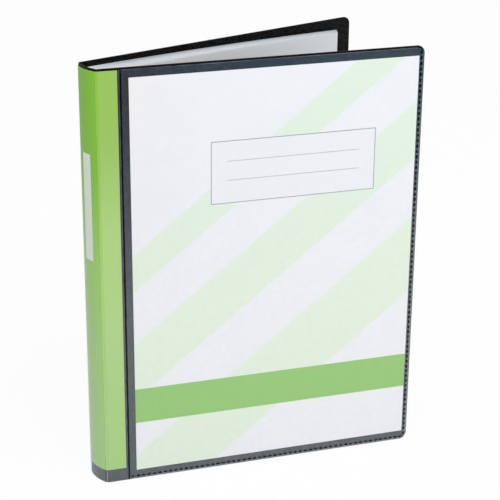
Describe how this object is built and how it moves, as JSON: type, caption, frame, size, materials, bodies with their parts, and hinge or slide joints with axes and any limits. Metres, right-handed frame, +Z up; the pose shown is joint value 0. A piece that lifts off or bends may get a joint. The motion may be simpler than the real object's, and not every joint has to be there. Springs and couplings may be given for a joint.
{
  "type": "clear pocket display book",
  "caption": "A4 display book: creased black polypropylene cover with a clear film pocket on the front and spine, a block of clear film pockets bound to the spine, standing ajar.",
  "frame": {"origin": "on the surface it stands on, under the middle of its footprint", "axes": "+X along the front cover from the spine to the fore edge, +Y from front to back, +Z up"},
  "size_m": [0.2441, 0.0982, 0.3115],
  "materials": {
    "black_polypropylene": "fine matt grain",
    "clear_film": "clear gloss film",
    "pocket_film": "clear, slightly milky film",
    "green_label": "printed paper",
    "printed_sheet": "printed paper"
  },
  "bodies": {
    "spine": {"spine_panel": "black_polypropylene", "spine_film": "clear_film", "pocket_binding": "pocket_film"},
    "front_crease": {"front_crease": "black_polypropylene", "front_crease_film": "clear_film"},
    "front_cover": {"front_cover_panel": "black_polypropylene", "front_film": "clear_film"},
    "back_crease": {"back_crease": "black_polypropylene", "back_crease_film": "clear_film"},
    "back_cover": {"back_cover_panel": "black_polypropylene", "back_flap_film": "clear_film"},
    "title_sheet": {"title_sheet": "printed_sheet"},
    "label_spine": {"label_spine": "green_label"},
    "label_front_fold": {"label_front_fold": "green_label"},
    "label_front_flap": {"label_front_flap": "green_label"},
    "label_back_fold": {"label_back_fold": "green_label"},
    "label_back_flap": {"label_back_flap": "green_label"},
    "pocket_01": {"pocket_01": "pocket_film"},
    "pocket_02": {"pocket_02": "pocket_film"},
    "pocket_03": {"pocket_03": "pocket_film"},
    "pocket_04": {"pocket_04": "pocket_film"},
    "pocket_05": {"pocket_05": "pocket_film"},
    "pocket_06": {"pocket_06": "pocket_film"},
    "pocket_07": {"pocket_07": "pocket_film"},
    "pocket_08": {"pocket_08": "pocket_film"},
    "pocket_09": {"pocket_09": "pocket_film"},
    "pocket_10": {"pocket_10": "pocket_film"},
    "pocket_11": {"pocket_11": "pocket_film"},
    "pocket_12": {"pocket_12": "pocket_film"},
    "pocket_13": {"pocket_13": "pocket_film"},
    "pocket_14": {"pocket_14": "pocket_film"},
    "pocket_15": {"pocket_15": "pocket_film"},
    "pocket_16": {"pocket_16": "pocket_film"},
    "pocket_17": {"pocket_17": "pocket_film"},
    "pocket_18": {"pocket_18": "pocket_film"},
    "pocket_19": {"pocket_19": "pocket_film"},
    "pocket_20": {"pocket_20": "pocket_film"},
    "pocket_21": {"pocket_21": "pocket_film"},
    "pocket_22": {"pocket_22": "pocket_film"},
    "pocket_23": {"pocket_23": "pocket_film"},
    "pocket_24": {"pocket_24": "pocket_film"},
    "pocket_25": {"pocket_25": "pocket_film"},
    "pocket_26": {"pocket_26": "pocket_film"},
    "pocket_27": {"pocket_27": "pocket_film"},
    "pocket_28": {"pocket_28": "pocket_film"},
    "pocket_29": {"pocket_29": "pocket_film"},
    "pocket_30": {"pocket_30": "pocket_film"},
    "pocket_31": {"pocket_31": "pocket_film"},
    "pocket_32": {"pocket_32": "pocket_film"},
    "pocket_33": {"pocket_33": "pocket_film"},
    "pocket_34": {"pocket_34": "pocket_film"},
    "pocket_35": {"pocket_35": "pocket_film"},
    "pocket_36": {"pocket_36": "pocket_film"},
    "pocket_37": {"pocket_37": "pocket_film"},
    "pocket_38": {"pocket_38": "pocket_film"},
    "pocket_39": {"pocket_39": "pocket_film"},
    "pocket_40": {"pocket_40": "pocket_film"}
  },
  "joints": [
    {"name": "front_crease_close", "type": "hinge", "parent": "spine", "child": "front_crease", "pos_m": [-0.11512, -0.04807, 0], "axis": [0, 0, -1], "range_deg": [-18.75, 0]},
    {"name": "front_cover_swing", "type": "hinge", "parent": "front_crease", "child": "front_cover", "pos_m": [-0.11295, -0.04909, 0], "axis": [0, 0, -1], "range_deg": [0, 160]},
    {"name": "back_crease_swing", "type": "hinge", "parent": "spine", "child": "back_crease", "pos_m": [-0.12203, -0.02771, 0], "axis": [0, 0, 1], "range_deg": [0, 45]},
    {"name": "back_cover_swing", "type": "hinge", "parent": "back_crease", "child": "back_cover", "pos_m": [-0.12059, -0.02579, 0], "axis": [0, 0, 1], "range_deg": [0, 45]},
    {"name": "title_sheet_slide", "type": "slide", "parent": "front_cover", "child": "title_sheet", "axis": [0, 0, 1], "range_m": [0, 0.3]},
    {"name": "label_slide", "type": "slide", "parent": "spine", "child": "label_spine", "axis": [0, 0, 1], "range_m": [0, 0.3]},
    {"name": "label_front_fold_slide", "type": "slide", "parent": "front_crease", "child": "label_front_fold", "axis": [0, 0, 1], "range_m": [0, 0.3]},
    {"name": "label_front_flap_slide", "type": "slide", "parent": "front_cover", "child": "label_front_flap", "axis": [0, 0, 1], "range_m": [0, 0.3]},
    {"name": "label_back_fold_slide", "type": "slide", "parent": "back_crease", "child": "label_back_fold", "axis": [0, 0, 1], "range_m": [0, 0.3]},
    {"name": "label_back_flap_slide", "type": "slide", "parent": "back_cover", "child": "label_back_flap", "axis": [0, 0, 1], "range_m": [0, 0.3]},
    {"name": "pocket_01_turn", "type": "hinge", "parent": "spine", "child": "pocket_01", "pos_m": [-0.11165, -0.04538, 0], "axis": [0, 0, -1], "range_deg": [0, 80.01]},
    {"name": "pocket_02_turn", "type": "hinge", "parent": "spine", "child": "pocket_02", "pos_m": [-0.11171, -0.04488, 0], "axis": [0, 0, -1], "range_deg": [0, 78.01]},
    {"name": "pocket_03_turn", "type": "hinge", "parent": "spine", "child": "pocket_03", "pos_m": [-0.11177, -0.04438, 0], "axis": [0, 0, -1], "range_deg": [0, 76.01]},
    {"name": "pocket_04_turn", "type": "hinge", "parent": "spine", "child": "pocket_04", "pos_m": [-0.11183, -0.04388, 0], "axis": [0, 0, -1], "range_deg": [0, 74.01]},
    {"name": "pocket_05_turn", "type": "hinge", "parent": "spine", "child": "pocket_05", "pos_m": [-0.1119, -0.04338, 0], "axis": [0, 0, -1], "range_deg": [0, 72.01]},
    {"name": "pocket_06_turn", "type": "hinge", "parent": "spine", "child": "pocket_06", "pos_m": [-0.11196, -0.04287, 0], "axis": [0, 0, -1], "range_deg": [0, 70.01]},
    {"name": "pocket_07_turn", "type": "hinge", "parent": "spine", "child": "pocket_07", "pos_m": [-0.11202, -0.04237, 0], "axis": [0, 0, -1], "range_deg": [0, 68.01]},
    {"name": "pocket_08_turn", "type": "hinge", "parent": "spine", "child": "pocket_08", "pos_m": [-0.11208, -0.04187, 0], "axis": [0, 0, -1], "range_deg": [0, 66.01]},
    {"name": "pocket_09_turn", "type": "hinge", "parent": "spine", "child": "pocket_09", "pos_m": [-0.11214, -0.04137, 0], "axis": [0, 0, -1], "range_deg": [0, 64.01]},
    {"name": "pocket_10_turn", "type": "hinge", "parent": "spine", "child": "pocket_10", "pos_m": [-0.11221, -0.04087, 0], "axis": [0, 0, -1], "range_deg": [0, 62.01]},
    {"name": "pocket_11_turn", "type": "hinge", "parent": "spine", "child": "pocket_11", "pos_m": [-0.11227, -0.04037, 0], "axis": [0, 0, -1], "range_deg": [0, 60.01]},
    {"name": "pocket_12_turn", "type": "hinge", "parent": "spine", "child": "pocket_12", "pos_m": [-0.11233, -0.03987, 0], "axis": [0, 0, -1], "range_deg": [0, 58.01]},
    {"name": "pocket_13_turn", "type": "hinge", "parent": "spine", "child": "pocket_13", "pos_m": [-0.11239, -0.03937, 0], "axis": [0, 0, -1], "range_deg": [0, 56.01]},
    {"name": "pocket_14_turn", "type": "hinge", "parent": "spine", "child": "pocket_14", "pos_m": [-0.11245, -0.03887, 0], "axis": [0, 0, -1], "range_deg": [0, 54.01]},
    {"name": "pocket_15_turn", "type": "hinge", "parent": "spine", "child": "pocket_15", "pos_m": [-0.11251, -0.03837, 0], "axis": [0, 0, -1], "range_deg": [0, 52.01]},
    {"name": "pocket_16_turn", "type": "hinge", "parent": "spine", "child": "pocket_16", "pos_m": [-0.11258, -0.03786, 0], "axis": [0, 0, -1], "range_deg": [0, 50.01]},
    {"name": "pocket_17_turn", "type": "hinge", "parent": "spine", "child": "pocket_17", "pos_m": [-0.11264, -0.03736, 0], "axis": [0, 0, -1], "range_deg": [0, 48.01]},
    {"name": "pocket_18_turn", "type": "hinge", "parent": "spine", "child": "pocket_18", "pos_m": [-0.1127, -0.03686, 0], "axis": [0, 0, -1], "range_deg": [0, 46.01]},
    {"name": "pocket_19_turn", "type": "hinge", "parent": "spine", "child": "pocket_19", "pos_m": [-0.11276, -0.03636, 0], "axis": [0, 0, -1], "range_deg": [0, 44.01]},
    {"name": "pocket_20_turn", "type": "hinge", "parent": "spine", "child": "pocket_20", "pos_m": [-0.11282, -0.03586, 0], "axis": [0, 0, -1], "range_deg": [0, 42.01]},
    {"name": "pocket_21_turn", "type": "hinge", "parent": "spine", "child": "pocket_21", "pos_m": [-0.11288, -0.03536, 0], "axis": [0, 0, -1], "range_deg": [0, 40.01]},
    {"name": "pocket_22_turn", "type": "hinge", "parent": "spine", "child": "pocket_22", "pos_m": [-0.11295, -0.03486, 0], "axis": [0, 0, -1], "range_deg": [0, 38.01]},
    {"name": "pocket_23_turn", "type": "hinge", "parent": "spine", "child": "pocket_23", "pos_m": [-0.11301, -0.03436, 0], "axis": [0, 0, -1], "range_deg": [0, 36.01]},
    {"name": "pocket_24_turn", "type": "hinge", "parent": "spine", "child": "pocket_24", "pos_m": [-0.11307, -0.03386, 0], "axis": [0, 0, -1], "range_deg": [0, 34.01]},
    {"name": "pocket_25_turn", "type": "hinge", "parent": "spine", "child": "pocket_25", "pos_m": [-0.11313, -0.03336, 0], "axis": [0, 0, -1], "range_deg": [0, 32.01]},
    {"name": "pocket_26_turn", "type": "hinge", "parent": "spine", "child": "pocket_26", "pos_m": [-0.11319, -0.03285, 0], "axis": [0, 0, -1], "range_deg": [0, 30.01]},
    {"name": "pocket_27_turn", "type": "hinge", "parent": "spine", "child": "pocket_27", "pos_m": [-0.11326, -0.03235, 0], "axis": [0, 0, -1], "range_deg": [0, 28.01]},
    {"name": "pocket_28_turn", "type": "hinge", "parent": "spine", "child": "pocket_28", "pos_m": [-0.11332, -0.03185, 0], "axis": [0, 0, -1], "range_deg": [0, 26.01]},
    {"name": "pocket_29_turn", "type": "hinge", "parent": "spine", "child": "pocket_29", "pos_m": [-0.11338, -0.03135, 0], "axis": [0, 0, -1], "range_deg": [0, 24.01]},
    {"name": "pocket_30_turn", "type": "hinge", "parent": "spine", "child": "pocket_30", "pos_m": [-0.11344, -0.03085, 0], "axis": [0, 0, -1], "range_deg": [0, 22.01]},
    {"name": "pocket_31_turn", "type": "hinge", "parent": "spine", "child": "pocket_31", "pos_m": [-0.1135, -0.03035, 0], "axis": [0, 0, -1], "range_deg": [0, 20.01]},
    {"name": "pocket_32_turn", "type": "hinge", "parent": "spine", "child": "pocket_32", "pos_m": [-0.11356, -0.02985, 0], "axis": [0, 0, -1], "range_deg": [0, 18.01]},
    {"name": "pocket_33_turn", "type": "hinge", "parent": "spine", "child": "pocket_33", "pos_m": [-0.11363, -0.02935, 0], "axis": [0, 0, -1], "range_deg": [0, 16.01]},
    {"name": "pocket_34_turn", "type": "hinge", "parent": "spine", "child": "pocket_34", "pos_m": [-0.11369, -0.02885, 0], "axis": [0, 0, -1], "range_deg": [0, 14.01]},
    {"name": "pocket_35_turn", "type": "hinge", "parent": "spine", "child": "pocket_35", "pos_m": [-0.11375, -0.02835, 0], "axis": [0, 0, -1], "range_deg": [0, 12.01]},
    {"name": "pocket_36_turn", "type": "hinge", "parent": "spine", "child": "pocket_36", "pos_m": [-0.11381, -0.02784, 0], "axis": [0, 0, -1], "range_deg": [0, 10.01]},
    {"name": "pocket_37_turn", "type": "hinge", "parent": "spine", "child": "pocket_37", "pos_m": [-0.11387, -0.02734, 0], "axis": [0, 0, -1], "range_deg": [0, 8.01]},
    {"name": "pocket_38_turn", "type": "hinge", "parent": "spine", "child": "pocket_38", "pos_m": [-0.11393, -0.02684, 0], "axis": [0, 0, -1], "range_deg": [0, 6.01]},
    {"name": "pocket_39_turn", "type": "hinge", "parent": "spine", "child": "pocket_39", "pos_m": [-0.114, -0.02634, 0], "axis": [0, 0, -1], "range_deg": [0, 4.01]},
    {"name": "pocket_40_turn", "type": "hinge", "parent": "spine", "child": "pocket_40", "pos_m": [-0.11406, -0.02584, 0], "axis": [0, 0, -1], "range_deg": [0, 2.01]}
  ],
  "couplings": [
    {"joint": "back_cover_swing", "follows": "back_crease_swing", "ratio": 1},
    {"joint": "label_front_fold_slide", "follows": "label_slide", "ratio": 1},
    {"joint": "label_front_flap_slide", "follows": "label_slide", "ratio": 1},
    {"joint": "label_back_fold_slide", "follows": "label_slide", "ratio": 1},
    {"joint": "label_back_flap_slide", "follows": "label_slide", "ratio": 1},
    {"joint": "pocket_01_turn", "follows": "front_cover_swing", "ratio": 0.5},
    {"joint": "pocket_02_turn", "follows": "front_cover_swing", "ratio": 0.4875},
    {"joint": "pocket_03_turn", "follows": "front_cover_swing", "ratio": 0.475},
    {"joint": "pocket_04_turn", "follows": "front_cover_swing", "ratio": 0.4625},
    {"joint": "pocket_05_turn", "follows": "front_cover_swing", "ratio": 0.45},
    {"joint": "pocket_06_turn", "follows": "front_cover_swing", "ratio": 0.4375},
    {"joint": "pocket_07_turn", "follows": "front_cover_swing", "ratio": 0.425},
    {"joint": "pocket_08_turn", "follows": "front_cover_swing", "ratio": 0.4125},
    {"joint": "pocket_09_turn", "follows": "front_cover_swing", "ratio": 0.4},
    {"joint": "pocket_10_turn", "follows": "front_cover_swing", "ratio": 0.3875},
    {"joint": "pocket_11_turn", "follows": "front_cover_swing", "ratio": 0.375},
    {"joint": "pocket_12_turn", "follows": "front_cover_swing", "ratio": 0.3625},
    {"joint": "pocket_13_turn", "follows": "front_cover_swing", "ratio": 0.35},
    {"joint": "pocket_14_turn", "follows": "front_cover_swing", "ratio": 0.3375},
    {"joint": "pocket_15_turn", "follows": "front_cover_swing", "ratio": 0.325},
    {"joint": "pocket_16_turn", "follows": "front_cover_swing", "ratio": 0.3125},
    {"joint": "pocket_17_turn", "follows": "front_cover_swing", "ratio": 0.3},
    {"joint": "pocket_18_turn", "follows": "front_cover_swing", "ratio": 0.2875},
    {"joint": "pocket_19_turn", "follows": "front_cover_swing", "ratio": 0.275},
    {"joint": "pocket_20_turn", "follows": "front_cover_swing", "ratio": 0.2625},
    {"joint": "pocket_21_turn", "follows": "front_cover_swing", "ratio": 0.25},
    {"joint": "pocket_22_turn", "follows": "front_cover_swing", "ratio": 0.2375},
    {"joint": "pocket_23_turn", "follows": "front_cover_swing", "ratio": 0.225},
    {"joint": "pocket_24_turn", "follows": "front_cover_swing", "ratio": 0.2125},
    {"joint": "pocket_25_turn", "follows": "front_cover_swing", "ratio": 0.2},
    {"joint": "pocket_26_turn", "follows": "front_cover_swing", "ratio": 0.1875},
    {"joint": "pocket_27_turn", "follows": "front_cover_swing", "ratio": 0.175},
    {"joint": "pocket_28_turn", "follows": "front_cover_swing", "ratio": 0.1625},
    {"joint": "pocket_29_turn", "follows": "front_cover_swing", "ratio": 0.15},
    {"joint": "pocket_30_turn", "follows": "front_cover_swing", "ratio": 0.1375},
    {"joint": "pocket_31_turn", "follows": "front_cover_swing", "ratio": 0.125},
    {"joint": "pocket_32_turn", "follows": "front_cover_swing", "ratio": 0.1125},
    {"joint": "pocket_33_turn", "follows": "front_cover_swing", "ratio": 0.1},
    {"joint": "pocket_34_turn", "follows": "front_cover_swing", "ratio": 0.0875},
    {"joint": "pocket_35_turn", "follows": "front_cover_swing", "ratio": 0.075},
    {"joint": "pocket_36_turn", "follows": "front_cover_swing", "ratio": 0.0625},
    {"joint": "pocket_37_turn", "follows": "front_cover_swing", "ratio": 0.05},
    {"joint": "pocket_38_turn", "follows": "front_cover_swing", "ratio": 0.0375},
    {"joint": "pocket_39_turn", "follows": "front_cover_swing", "ratio": 0.025},
    {"joint": "pocket_40_turn", "follows": "front_cover_swing", "ratio": 0.0125}
  ]
}
